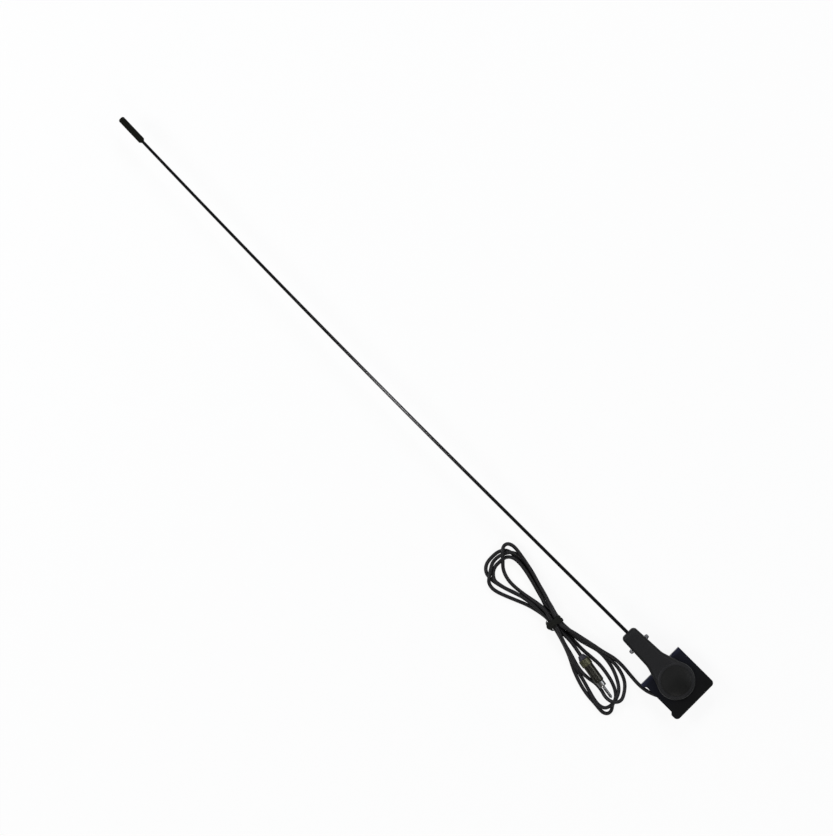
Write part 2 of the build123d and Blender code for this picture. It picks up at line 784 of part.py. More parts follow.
cable_tube(tail_route, "cable_tail")

# Plug: boot, brass collar, plated shell, slotted sleeve, insulator and pin on one axis
plug_start = Vector(*tail_route[-1])
plug_dir = (plug_start - Vector(*tail_route[-2])).normalized()
plug_plane = Plane(origin=plug_start, x_dir=plug_dir, z_dir=(0, 0, 1))
plug_axis = Axis(plug_start, plug_dir)
collar_at = boot_length
shell_at = collar_at + collar_length
sleeve_at = shell_at + shell_length
pin_at = sleeve_at + sleeve_length - sleeve_tucked
pin_tip_at = pin_at + pin_length
insulator_at = sleeve_at - sleeve_tucked - insulator_behind
insulator_face = pin_at - insulator_sunk
insulator_r = sleeve_r - sleeve_wall - fit_gap

with BuildPart() as plug_boot:
    with BuildSketch(plug_plane):
        with BuildLine():
            Polyline(
                (0, 0),
                (0, boot_mouth_r),
                (boot_length - boot_shoulder, boot_r),
                (boot_length, boot_r),
                (boot_length, 0),
                close=True,
            )
        make_face()
    revolve(axis=plug_axis)
save(plug_boot, "plug_boot")

groove_pitch = collar_length / (collar_grooves + 1)
with BuildPart() as plug_collar:
    with BuildSketch(plug_plane):
        with BuildLine():
            Polyline(
                (collar_at, 0),
                (collar_at, plug_collar_r),
                (shell_at, plug_collar_r),
                (shell_at, 0),
                close=True,
            )
        make_face()
    revolve(axis=plug_axis)
    chamfer(plug_collar.edges().filter_by(GeomType.CIRCLE), collar_chamfer)
    with BuildSketch(plug_plane):
        for groove in range(collar_grooves):
            with Locations((collar_at + (groove + 1) * groove_pitch, plug_collar_r)):
                Rectangle(groove_pitch / 3, 2 * collar_groove)
    revolve(axis=plug_axis, mode=Mode.SUBTRACT)
save(plug_collar, "plug_collar")

with BuildPart() as plug_shell:
    with BuildSketch(plug_plane):
        with BuildLine():
            Polyline(
                (shell_at, shell_r - shell_wall),
                (shell_at, shell_r),
                (sleeve_at - shell_nose, shell_r),
                (sleeve_at, shell_nose_r),
                (sleeve_at, sleeve_r + fit_gap),
                (sleeve_at - sleeve_tucked, sleeve_r + fit_gap),
                (sleeve_at - sleeve_tucked, shell_r - shell_wall),
                close=True,
            )
        make_face()
    revolve(axis=plug_axis)
save(plug_shell, "plug_shell")

with BuildPart() as plug_sleeve:
    with BuildSketch(plug_plane):
        with BuildLine():
            Polyline(
                (sleeve_at - sleeve_tucked, sleeve_r - sleeve_wall),
                (sleeve_at - sleeve_tucked, sleeve_r),
                (pin_at - sleeve_nose, sleeve_r),
                (pin_at, sleeve_nose_r),
                (pin_at, sleeve_r - sleeve_wall),
                close=True,
            )
        make_face()
    revolve(axis=plug_axis)
    for slit_plane in (plug_plane, Plane(origin=plug_start, x_dir=plug_dir, z_dir=plug_plane.y_dir)):
        with BuildSketch(slit_plane):
            with Locations(((sleeve_at + pin_at) / 2 + sleeve_nose, 0)):
                Rectangle(pin_at - sleeve_at, 3 * sleeve_r)
        extrude(amount=sleeve_slit / 2, both=True, mode=Mode.SUBTRACT)
save(plug_sleeve, "plug_sleeve")

with BuildPart() as plug_insulator:
    with BuildSketch(plug_plane):
        with BuildLine():
            Polyline(
                (insulator_at, pin_root_r + fit_gap),
                (insulator_at, insulator_r),
                (insulator_face, insulator_r),
                (insulator_face, pin_root_r + fit_gap),
                close=True,
            )
        make_face()
    revolve(axis=plug_axis)
save(plug_insulator, "plug_insulator")

with BuildPart() as plug_pin:
    with BuildSketch(plug_plane):
        with BuildLine():
            Polyline(
                (pin_tip_at, 0),
                (shell_at, 0),
                (shell_at, pin_root_r),
                (insulator_face, pin_root_r),
                (insulator_face, pin_r),
                (pin_tip_at - pin_tip_round, pin_r),
                (pin_tip_at, pin_r - pin_tip_round),
                close=True,
            )
        make_face()
    revolve(axis=plug_axis)
save(plug_pin, "plug_pin")
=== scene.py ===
"""The finished look of a gutter mount antenna: its finishes, its lead, the tie, the light and the
camera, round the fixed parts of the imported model.

Everything is in metres. The origin is the middle of the gutter's seat, +Y runs along the arm and
the mast, +X is to the right and +Z is up through the hub. The table is 9 mm below the seat.
"""

import math

import bpy
import numpy as np
from bpy.props import FloatProperty, FloatVectorProperty, IntProperty, PointerProperty
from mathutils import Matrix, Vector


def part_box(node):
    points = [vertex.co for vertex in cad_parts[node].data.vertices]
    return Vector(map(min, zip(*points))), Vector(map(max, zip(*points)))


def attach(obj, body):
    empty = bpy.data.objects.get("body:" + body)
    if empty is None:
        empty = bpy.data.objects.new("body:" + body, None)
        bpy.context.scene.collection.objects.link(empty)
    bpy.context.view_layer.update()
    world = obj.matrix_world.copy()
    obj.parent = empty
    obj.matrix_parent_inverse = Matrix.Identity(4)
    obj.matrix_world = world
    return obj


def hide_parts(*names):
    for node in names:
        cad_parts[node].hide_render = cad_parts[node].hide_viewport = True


bl_info = {
    "name": "Gutter mount antenna",
    "version": (1, 0, 0),
    "blender": (4, 5, 0),
    "location": "3D View > Sidebar > Antenna",
    "description": "Finishes, lead, tie, light and camera of a gutter mount antenna",
    "category": "Object",
}

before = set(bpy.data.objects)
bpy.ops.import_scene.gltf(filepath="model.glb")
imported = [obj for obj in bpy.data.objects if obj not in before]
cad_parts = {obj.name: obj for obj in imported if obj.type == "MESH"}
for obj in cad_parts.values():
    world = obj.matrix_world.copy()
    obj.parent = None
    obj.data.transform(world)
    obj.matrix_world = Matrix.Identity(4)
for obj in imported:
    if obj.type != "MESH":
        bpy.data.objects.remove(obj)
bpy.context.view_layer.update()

MM = 0.001
TABLE_Z = -9.0 * MM
PICTURE_CENTRE = (3.8 * MM, 370.6 * MM)
PICTURE_TURN = math.radians(-45.2)

# Finishes that have no setting in the panel.
WHITE = (1.0, 1.0, 1.0)
BARE_STEEL = (0.20, 0.20, 0.21)
# The next two colours are painted light on the bracket: a bluish sheen towards the fold and a
# lighter bluish highlight on the fold's edge.
PAINTED_SHEEN_BLUE = (0.0075, 0.0085, 0.0160)
PAINTED_FOLD_HIGHLIGHT = (0.0190, 0.0210, 0.0440)
PAINT_DUST = (0.008, 0.008, 0.009)
JACKET_BLUE = (0.0065, 0.0065, 0.0095)
JACKET_DUST = (0.024, 0.023, 0.022)
GASKET_BLACK = (0.012, 0.012, 0.012)
BOOT_GREY = (0.029, 0.028, 0.037)
ZINC = (0.40, 0.40, 0.41)
BLACKED_STEEL = (0.16, 0.16, 0.17)
BRASS = (0.62, 0.45, 0.17)
TIN = (0.55, 0.55, 0.56)
NYLON = (0.55, 0.53, 0.47)
TARNISH = (0.03, 0.028, 0.022)

# The lengths from here to the turns of the hank are in millimetres.
# The mast: its middle's height, where its bow starts, how far it bows, its radius at each end.
MAST_HEIGHT = 13.8
MAST_STRAIGHT_TO = 270.0
MAST_BOW = 8.0
MAST_ROOT_RADIUS = 1.95
MAST_END_RADIUS = 1.63
# The tie: its middle, its reach from there round the strands, and its knot at the hank's left.
TIE_MIDDLE = (-46.2, 114.0, -1.9)
TIE_REACH = 6.5
KNOT_MIDDLE = (-54.3, 114.4, -1.6)
END_ROOT = (-54.4, 114.4, -1.4)
# How far along the hank the strands pass the tie's near side, its middle and its far side.
TIE_NEAR_Y, TIE_HALF_WAY_Y, TIE_FAR_Y = 106.7, 114.2, 121.7
# The lead from the rear cover to the tie: part.py's route, moved a few millimetres to follow the
# photograph.
LEAD = [
    (-17.8, -26.1, -0.6), (-24, -20.4, -0.6), (-27.2, -13.9, -1.2), (-30.1, -5.5, -2.6),
    (-30.9, 5.5, -4.9), (-29.9, 17.5, -7), (-28.6, 30.5, -7), (-29.2, 43, -4.6),
    (-32.6, 55, -1), (-35, 68, -0.7), (-37.8, 81, 0), (-40.4, 93.5, 1.2), (-42.9, 101, 1.6),
]
# The eight passes through the tie: x at its near side, x at its far side, height.
PASSES = {
    "top_right": (-44.6, -41.6, 1.8),
    "top_left": (-49.3, -46.6, 1.8),
    "mid_right": (-42.2, -39.6, -1.9),
    "mid_left": (-51.6, -48.8, -1.9),
    "low_right": (-42.2, -39.2, -5.8),
    "low_left": (-51.6, -49.1, -5.8),
    "low_middle": (-47.2, -44.65, -5.8),
    "mid_middle": (-47.2, -44.65, -1.9),
}
# Far loops of the hank, from the one on top to the one on the table.
FAR_CROSSING = [
    (-37, 130.5, 0.9), (-33.2, 141.5, -0.6), (-29.8, 154.5, -2.2), (-25.6, 168, -3.2),
    (-22.8, 181.5, -2.4), (-20.8, 193, -1.2), (-20, 199.8, -0.8), (-20.7, 204.8, -1.4),
    (-22.9, 208.3, -1.2), (-26.4, 209.5, -1.2), (-30.4, 208, -1.2), (-34, 204.2, -1.2),
    (-38.8, 199.2, -2.2), (-44.6, 193.4, -5), (-48.1, 186.5, -6.6), (-50, 178, -7),
    (-49.8, 167.6, -7), (-48.4, 157, -6), (-46.4, 147, -3.6), (-44.6, 137, -0.9),
    (-44.4, 129, 1.2),
]
FAR_INNER = [
    (-40.7, 129.5, -2.3), (-38.8, 139, -3), (-35.7, 150.5, -3.1), (-32.4, 162, -3.1),
    (-29.7, 173.5, -3.1), (-28, 184.5, -3.6), (-29, 194, -5), (-34, 199.6, -6.4),
    (-41.6, 200.3, -7), (-49, 200.6, -7), (-55.8, 197.3, -6.2), (-60.5, 190.6, -3.9),
    (-59.6, 183.6, -3.1), (-57.8, 175.5, -3.1), (-54, 166, -3.1), (-51.3, 154.5, -3.1),
    (-49.6, 143.5, -3.2), (-49.2, 131, -2.4),
]
FAR_LONG = [
    (-36.9, 128.5, -6.3), (-35.1, 137.5, -7), (-31.9, 150.5, -7), (-27.6, 164.5, -7),
    (-24.3, 178, -7), (-22.7, 189, -5.2), (-25.2, 198, -2.8), (-31.9, 202.9, -4.4),
    (-40.5, 205.6, -7), (-48.4, 205.3, -6.6), (-54.6, 201.7, -4.4), (-60.9, 197.4, -3),
    (-66.3, 193.4, -4.4), (-68.2, 186, -6.6), (-66.3, 177.5, -7), (-62.4, 167.5, -7),
    (-58.2, 157.5, -7), (-54.1, 147.5, -7), (-51.4, 137.5, -7), (-49.8, 129, -6.3),
]
FAR_OUTER = [
    (-42.4, 130, -6.5), (-38.2, 140.5, -7), (-35, 151.5, -7), (-32.3, 162.5, -7),
    (-29.1, 173.5, -7), (-26.7, 184.5, -7), (-26, 194.5, -7), (-28, 204, -7), (-35, 209, -7),
    (-44.5, 210, -7), (-54.4, 208.9, -7), (-61, 202.8, -7), (-62.1, 193.5, -7),
    (-60.4, 184.5, -7), (-57.7, 174.5, -7), (-54.2, 164.5, -7), (-50.9, 154, -7),
    (-48.2, 144, -6.8), (-45.6, 131.5, -4),
]
# Near loops, which lie round the plug, and the tail that ends in it.
NEAR_BY_PLUG = [
    (-52.9, 98, 1.3), (-56, 89, 0.2), (-58.2, 79, -1), (-61.5, 68.5, -2.4), (-64.2, 57.5, -3.6),
    (-63.8, 46.5, -6.4), (-61.9, 37, -7), (-62.7, 28, -7), (-65.2, 20, -4.6),
    (-64.5, 12.6, -0.7), (-60.4, 7, 0.4), (-54.6, 5, -2), (-45.8, 9.8, -6.4), (-39.2, 16, -7),
    (-35.1, 24.8, -7), (-32.8, 35.5, -6.4), (-33.5, 47.5, -4.4), (-34.6, 60, -3.8),
    (-37, 71, -3.9), (-40, 82, -3.6), (-41.2, 94, -2.9),
]
NEAR_MIDDLE = [
    (-53.6, 98, -2.4), (-56.6, 88.5, -3.1), (-60.1, 78, -4), (-63.8, 67.5, -4.6),
    (-66.6, 57.5, -6.4), (-69.4, 47, -7), (-72.5, 36.5, -6), (-75.3, 26.5, -4.2),
    (-76.3, 18.4, -3.1), (-74, 11.5, -3.1), (-68.4, 9.3, -3.1), (-60, 9.6, -3.1),
    (-52, 12.6, -4.4), (-46.4, 18.2, -7), (-41.7, 26.4, -7), (-37.7, 36.5, -7),
    (-35.6, 47.5, -7), (-35.2, 58.5, -7), (-38.1, 69.5, -7), (-41.6, 81, -7), (-43, 94, -6.6),
]
NEAR_OUTER = [
    (-53.9, 98, -6.3), (-57.2, 87.5, -6.9), (-61.6, 76.5, -7), (-67.5, 65.5, -7),
    (-71.6, 55.5, -7), (-74.9, 45, -7), (-77.1, 34, -7), (-77.6, 23.5, -7), (-78.9, 12, -7),
    (-77.9, 7.8, -7), (-75.3, 4.9, -7), (-70.6, 4.7, -7), (-65.2, 8.8, -7), (-58.4, 10.4, -7),
    (-52.8, 16.6, -7), (-48.7, 26, -7), (-46.2, 37, -7), (-44.7, 48.5, -7), (-45.6, 60.5, -7),
    (-46.6, 72.5, -7), (-46.1, 84, -7), (-46.4, 96, -6.5),
]
TAIL = [
    (-49, 98.5, -1.8), (-48.8, 88.6, -1.8), (-50.4, 78.6, -2.8), (-52.2, 69.7, -2.8),
]
# Each turn: the pass it goes up through, its far loop, the pass it comes back by, what follows.
TURNS = [
    ("top_right", FAR_CROSSING, "top_left", NEAR_BY_PLUG),
    ("mid_right", FAR_INNER, "mid_left", NEAR_MIDDLE),
    ("low_right", FAR_LONG, "low_left", NEAR_OUTER),
    ("low_middle", FAR_OUTER, "mid_middle", TAIL),
]

# ---------------------------------------------------------------- shader maths


class Value:
    """An output socket that Python's operators work on, each one adding a Math node."""

    def __init__(self, shade, socket):
        self.shade, self.socket = shade, socket

    def _math(self, operation, first, second):
        return self.shade.add("ShaderNodeMath", {"operation": operation}, {0: first, 1: second})

    def __add__(self, other):
        return self._math("ADD", self, other)

    def __radd__(self, other):
        return self._math("ADD", other, self)

    def __sub__(self, other):
        return self._math("SUBTRACT", self, other)

    def __rsub__(self, other):
        return self._math("SUBTRACT", other, self)

    def __mul__(self, other):
        return self._math("MULTIPLY", self, other)

    def __rmul__(self, other):
        return self._math("MULTIPLY", other, self)

    def __abs__(self):
        return self.shade.add("ShaderNodeMath", {"operation": "ABSOLUTE"}, {0: self})

    def least(self, other):
        return self._math("MINIMUM", self, other)

    def most(self, other):
        return self._math("MAXIMUM", self, other)

    def rise(self, low, high):
        """0 below low, 1 above high, and a smooth step between them."""
        return self.shade.add(
            "ShaderNodeMapRange",
            {"interpolation_type": "SMOOTHSTEP"},
            {"Value": self, "From Min": low, "From Max": high},
        )


class Nodes:
    """The nodes of a material or of the world."""

    def __init__(self, owner):
        owner.use_nodes = True
        self.tree = owner.node_tree
        self.tree.nodes.clear()

    def add(self, kind, settings, sockets, out=0):
        """A node of that type: its settings first, then the values or links of its sockets."""
        node = self.tree.nodes.new(kind)
        for key, setting in settings.items():
            setattr(node, key, setting)
        for key, value in sockets.items():
            if isinstance(value, Value):
                self.tree.links.new(value.socket, node.inputs[key])
            else:
                node.inputs[key].default_value = value
        return Value(self, node.outputs[out]) if node.outputs else None

    def mix(self, share, first, second):
        """The first colour where share is 0, the second where it is 1. The colours' sockets are
        known by number, because each kind of value has a pair of the same names."""
        return self.add(
            "ShaderNodeMix", {"data_type": "RGBA"}, {0: share, 6: first, 7: second}, out=2
        )


class Shade(Nodes):
    """The nodes of one material, in the coordinates of its object."""

    def __init__(self, name):
        self.material = bpy.data.materials.new(name)
        super().__init__(self.material)
        self.place = self.add("ShaderNodeTexCoord", {}, {}, out="Object")

    def axis(self, letter):
        """The object's x, y or z coordinate, in metres."""
        return self.add("ShaderNodeSeparateXYZ", {}, {0: self.place}, out="XYZ".index(letter))

    def noise(self, scale, detail=3.0, rough=0.5, stretch=(1, 1, 1)):
        """Soft random values from 0 to 1, scale waves to the metre, drawn out by a low stretch."""
        place = self.add("ShaderNodeMapping", {}, {"Vector": self.place, "Scale": stretch})
        sockets = {"Vector": place, "Scale": scale, "Detail": detail, "Roughness": rough}
        return self.add("ShaderNodeTexNoise", {}, sockets)

    def grains(self, scale):
        """Distance from the nearest of many scattered points, as on a grained moulding."""
        return self.add("ShaderNodeTexVoronoi", {}, {"Vector": self.place, "Scale": scale})

    def bump(self, height, depth, strength=1.0):
        """A normal from a height of 0 to 1 that stands for depth in metres."""
        return self.add(
            "ShaderNodeBump", {}, {"Height": height, "Distance": depth, "Strength": strength}
        )

    def surface(self, **sockets):
        """The Principled surface that ends the material, its sockets named by their own words."""
        named = {key.replace("_", " ").title(): value for key, value in sockets.items()}
        named = {key.replace("Ior", "IOR"): value for key, value in named.items()}
        shader = self.add("ShaderNodeBsdfPrincipled", {}, named)
        self.add("ShaderNodeOutputMaterial", {}, {"Surface": shader})
        return self.material


def rgba(colour, share=1.0):
    """A colour of three numbers, times share, with its alpha."""
    return tuple(share * c for c in colour) + (1.0,)


def painted_steel(colour, gloss):
    """Black paint on folded sheet: orange peel, faint dust, bare steel where edges rub, and a
    painted bluish sheen towards the fold with a painted highlight on its edge.
    """
    s = Shade("bracket_paint")
    x, y = s.axis("X"), s.axis("Y")
    fold_top = s.axis("Z").rise(-3.0 * MM, -0.4 * MM)
    side_edges = abs(x + 1.0 * MM).rise(26.2 * MM, 28.4 * MM)
    near_edge = (0 - y).rise(49.6 * MM, 51.6 * MM)
    fold_edge = y.rise(1.2 * MM, 2.6 * MM) * fold_top
    chips = s.noise(420, 5, 0.65).rise(0.60, 0.66) * side_edges.most(near_edge).most(fold_edge)
    cloud = s.noise(38, 4)
    dust = s.noise(160, 5, 0.7).rise(0.45, 0.8) * 0.35
    paint = s.mix(cloud, rgba(colour, 0.7), rgba(colour, 1.35))
    # Painted light: towards the fold the paint turns a lighter blue, a painted sheen, and on the
    # fold's top edge a lighter blue still, a painted highlight.
    paint = s.mix(y.rise(-45.0 * MM, 1.0 * MM) * 0.8, paint, rgba(PAINTED_SHEEN_BLUE))
    paint = s.mix(y.rise(-3.0 * MM, 2.0 * MM) * fold_top * 0.8, paint, rgba(PAINTED_FOLD_HIGHLIGHT))
    paint = s.mix(dust, paint, rgba(PAINT_DUST))
    return s.surface(
        base_color=s.mix(chips, paint, rgba(BARE_STEEL)),
        roughness=(gloss + 0.14 * cloud + 0.10 * dust).least(0.9),
        metallic=chips * 0.8,
        normal=s.bump(s.noise(520, 2), 0.05 * MM, 0.5),
        specular_ior_level=0.12,
    )


def moulded_plastic(name, colour, grain, gloss, top_z=None, shine=0.14):
    """Moulded plastic: fine grain, a flow of shade, and a painted highlight in patches on faces
    within 0.6 mm under top_z.
    """
    s = Shade(name)
    flow = s.noise(26, 3, 0.5, stretch=(1.0, 0.35, 1.0))
    fine = s.grains(grain)
    shade = s.mix(flow, rgba(colour, 0.82), rgba(colour, 1.2))
    rough = gloss + 0.12 * flow
    if top_z is not None:
        # Painted light: faces near top_z are painted lighter, in patches, as a highlight on the
        # top.
        painted_top_highlight = s.axis("Z").rise(top_z - 0.6 * MM, top_z) * (0.5 + 0.5 * s.noise(90, 4))
        shade = s.mix(painted_top_highlight, shade, rgba(colour, 1.6))
        rough = rough + 0.06 * painted_top_highlight
    return s.surface(
        base_color=shade,
        roughness=rough,
        normal=s.bump(fine, 0.05 * MM, 0.3),
        specular_ior_level=shine,
    )


def rubber(name, colour):
    """Soft black rubber: dull, with a bloom of lighter powder."""
    s = Shade(name)
    bloom = s.noise(240, 5, 0.7).rise(0.45, 0.8)
    return s.surface(
        base_color=s.mix(bloom * 0.5, rgba(colour), rgba(colour, 2.4)),
        roughness=0.78 + 0.1 * bloom,
        normal=s.bump(s.noise(1500, 2), 0.03 * MM, 0.5),
        specular_ior_level=0.16,
    )


def metal(name, colour, gloss, tarnish=0.3, lines=(1, 1, 1)):
    """Turned or plated metal: fine lines the way it was cut, and darker tarnish in patches."""
    s = Shade(name)
    patch = s.noise(130, 5, 0.65).rise(0.42, 0.75) * tarnish
    cut = s.noise(1300, 2, 0.4, stretch=lines)
    clean = s.mix(cut, rgba(colour, 0.85), rgba(colour, 1.1))
    return s.surface(
        base_color=s.mix(patch, clean, rgba(TARNISH)),
        roughness=gloss + 0.10 * cut + 0.25 * patch,
        metallic=1.0 - 0.5 * patch,
        normal=s.bump(cut, 0.02 * MM, 0.4),
    )


def black_rod(colour, gloss):
    """The mast's black: a thin gloss coat, drawn lines along it, faint rub marks."""
    s = Shade("mast_black")
    drawn = s.noise(2600, 2, 0.4, stretch=(1.0, 0.004, 1.0))
    rub = s.noise(70, 5, 0.7, stretch=(1.0, 0.3, 1.0)).rise(0.5, 0.8)
    return s.surface(
        base_color=s.mix(rub, rgba(colour), rgba(colour, 2.0)),
        roughness=gloss + 0.02 * drawn + 0.05 * rub,
        normal=s.bump(drawn, 0.003 * MM, 0.1),
        specular_ior_level=0.5,
    )


def cable_jacket(colour, gloss):
    """The lead's soft jacket: faint ripples from the cable inside, dust and a waxy gloss."""
    s = Shade("cable_jacket")
    ripple = s.noise(95, 2, 0.4)
    dust = s.noise(260, 4, 0.6).rise(0.5, 0.85)
    tint = s.mix(s.noise(14, 2), rgba(colour), rgba(JACKET_BLUE))
    return s.surface(
        base_color=s.mix(dust * 0.3, tint, rgba(JACKET_DUST)),
        roughness=gloss + 0.08 * dust + 0.06 * ripple,
        normal=s.bump(ripple, 0.06 * MM, 0.2),
        specular_ior_level=0.20,
    )


# ---------------------------------------------------------------- surfaces


def grid_mesh(name, points, close_u=False, close_v=False, cap_ends=False):
    """A mesh from a grid of points[u, v], joined to its neighbours, and round where it closes."""
    rows, columns = points.shape[:2]
    number = np.arange(rows * columns).reshape(rows, columns)
    if close_u:
        number = np.vstack([number, number[:1]])
    if close_v:
        number = np.hstack([number, number[:, :1]])
    a, b, c, d = number[:-1, :-1], number[1:, :-1], number[1:, 1:], number[:-1, 1:]
    faces = np.stack([a, b, c, d], -1).reshape(-1, 4).tolist()
    if cap_ends:
        faces += [number[0, :columns].tolist(), number[-1, :columns][::-1].tolist()]
    mesh = bpy.data.meshes.new(name)
    mesh.from_pydata(points.reshape(-1, 3).tolist(), [], faces)
    mesh.polygons.foreach_set("use_smooth", np.ones(len(mesh.polygons), bool))
    mesh.update()
    return add_object(name, mesh)


def add_object(name, data):
    """A new object at the origin, in the scene's collection."""
    made = bpy.data.objects.new(name, data)
    bpy.context.scene.collection.objects.link(made)
    return made


def power(values, exponent):
    """Each value to that power, with its sign kept, which squares off a circle's corners."""
    return np.sign(values) * np.abs(values) ** exponent


def carried(path, outward, half_width, inner, outer, turns_round=False, square=0.55, grooves=0):
    """A strip's profile carried along a path.

    point(u, v) = path(u) + across(u) * half_width(u) * cos'(v) + outward(u) * t(u, v) * sin'(v),
    where across is square to the path and to outward, the primes square off the profile, and the
    thickness t is inner(u) on the inside and outer(u) on the outside, less a few narrow grooves.
    """
    if turns_round:
        along = np.roll(path, -1, 0) - np.roll(path, 1, 0)
    else:
        along = np.gradient(path, axis=0)
    along /= np.linalg.norm(along, axis=1, keepdims=True)
    across = np.cross(along, outward)
    across /= np.linalg.norm(across, axis=1, keepdims=True)
    v = np.linspace(0, 2 * np.pi, 56, endpoint=False)
    profile_x, profile_y = power(np.cos(v), square), power(np.sin(v), square)
    wide = np.reshape(half_width, (-1, 1)) * profile_x
    cut, depth, half_open = 0.0, 0.32, 0.14
    for number in range(grooves):
        middle = -1.0 + 2.0 * (number + 1) / (grooves + 1)
        cut = cut + depth * np.exp(-(((profile_x - middle) / half_open) ** 2))
    outside = np.reshape(outer, (-1, 1)) * (1.0 - cut)
    thick = np.where(profile_y > 0, outside, np.reshape(inner, (-1, 1))) * profile_y
    return path[:, None] + across[:, None] * wide[..., None] + outward[:, None] * thick[..., None]


def dress(names, material, crease=32.0):
    """Gives CAD nodes their finish, and smooths their shading up to the crease angle."""
    for name in names:
        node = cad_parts[name]
        if not node.material_slots:
            node.data.materials.append(material)
        for slot in node.material_slots:
            slot.material = material
        node.data.polygons.foreach_set("use_smooth", np.ones(len(node.data.polygons), bool))
        weld = node.modifiers.new("weld", "WELD")
        weld.merge_threshold = 1e-6
        split = node.modifiers.new("crease", "EDGE_SPLIT")
        split.split_angle = math.radians(crease)
        split.use_edge_sharp = False


# ---------------------------------------------------------------- sizes and colours


def colour_property(name, description, default):
    """A colour that the panel shows as a swatch."""
    return FloatVectorProperty(
        name=name, description=description, default=default, subtype="COLOR", min=0, max=1, size=3
    )


def gloss_property(name, description, default):
    """How rough a finish is, from mirror to chalk."""
    return FloatProperty(
        name=name, description=description, default=default, min=0, max=1, subtype="FACTOR"
    )


class AntennaStageSettings(bpy.types.PropertyGroup):
    """Table, lamps and camera."""

    camera_height: FloatProperty(
        name="Camera height",
        description="How far above the table the camera hangs",
        default=6.0,
        min=0.5,
        unit="LENGTH",
    )
    picture_side: FloatProperty(
        name="Picture side",
        description="How much of the table the picture's longer side takes in",
        default=0.8862,
        min=0.1,
        unit="LENGTH",
    )
    table_white: gloss_property("Table white", "How white the table is to the camera", 1.0)
    lamp_level: FloatProperty(
        name="Lamp level",
        description="How bright the lamps are, where 1 shows a colour about as it is written",
        default=1.0,
        min=0,
    )
    room_level: FloatProperty(
        name="Room level",
        description="How bright the room round the table is",
        default=0.10,
        min=0,
    )


class AntennaCableSettings(bpy.types.PropertyGroup):
    """The coaxial lead and its tie."""

    diameter: FloatProperty(
        name="Diameter",
        description="Diameter of the coaxial lead",
        default=4.0 * MM,
        min=1.0 * MM,
        unit="LENGTH",
    )
    length: FloatProperty(
        name="Length",
        description="Length of the lead from the rear cover to the plug",
        default=1.75,
        min=0.1,
        unit="LENGTH",
    )
    jacket: colour_property("Jacket", "Colour of the lead's jacket", (0.0125, 0.0115, 0.0105))
    jacket_gloss: gloss_property("Jacket roughness", "How rough the jacket is", 0.44)
    band_width: FloatProperty(
        name="Band width",
        description="Width of the tie's band",
        default=5.0 * MM,
        min=1.0 * MM,
        unit="LENGTH",
    )
    band_thickness: FloatProperty(
        name="Band thickness",
        description="Thickness of the tie's band",
        default=1.1 * MM,
        min=0.3 * MM,
        unit="LENGTH",
    )
    band: colour_property("Band", "Colour of the tie", (0.0056, 0.0058, 0.0046))
    band_turns: IntProperty(
        name="Band turns", description="How often the band goes round the hank", default=2, min=1
    )


class AntennaFinishSettings(bpy.types.PropertyGroup):
    """Colours of the bracket, the arm, the mast and the plug."""

    paint: colour_property("Bracket paint", "The bracket's paint", (0.0044, 0.0044, 0.0046))
    paint_gloss: gloss_property("Paint roughness", "How rough the bracket's paint is", 0.34)
    plastic: colour_property("Arm plastic", "Colour of the moulded arm", (0.0088, 0.0088, 0.0093))
    cap: colour_property("Hub cap", "Colour of the domed cap", (0.0080, 0.0080, 0.0076))
    mast: colour_property("Mast", "Colour of the mast", (0.0014, 0.0014, 0.0018))
    mast_gloss: gloss_property("Mast roughness", "How rough the mast is", 0.10)
    tip: colour_property("Tip cap", "Colour of the mast's end cap", (0.0040, 0.0042, 0.0026))
    shell: colour_property("Plug shell", "Colour of the plated shell", (0.050, 0.048, 0.040))
    collar: colour_property("Plug collar", "Colour of the brass collar", (0.130, 0.128, 0.080))
    pin: colour_property("Plug pin", "Colour of the plug's pin", (0.20, 0.20, 0.20))


# ---------------------------------------------------------------- operators


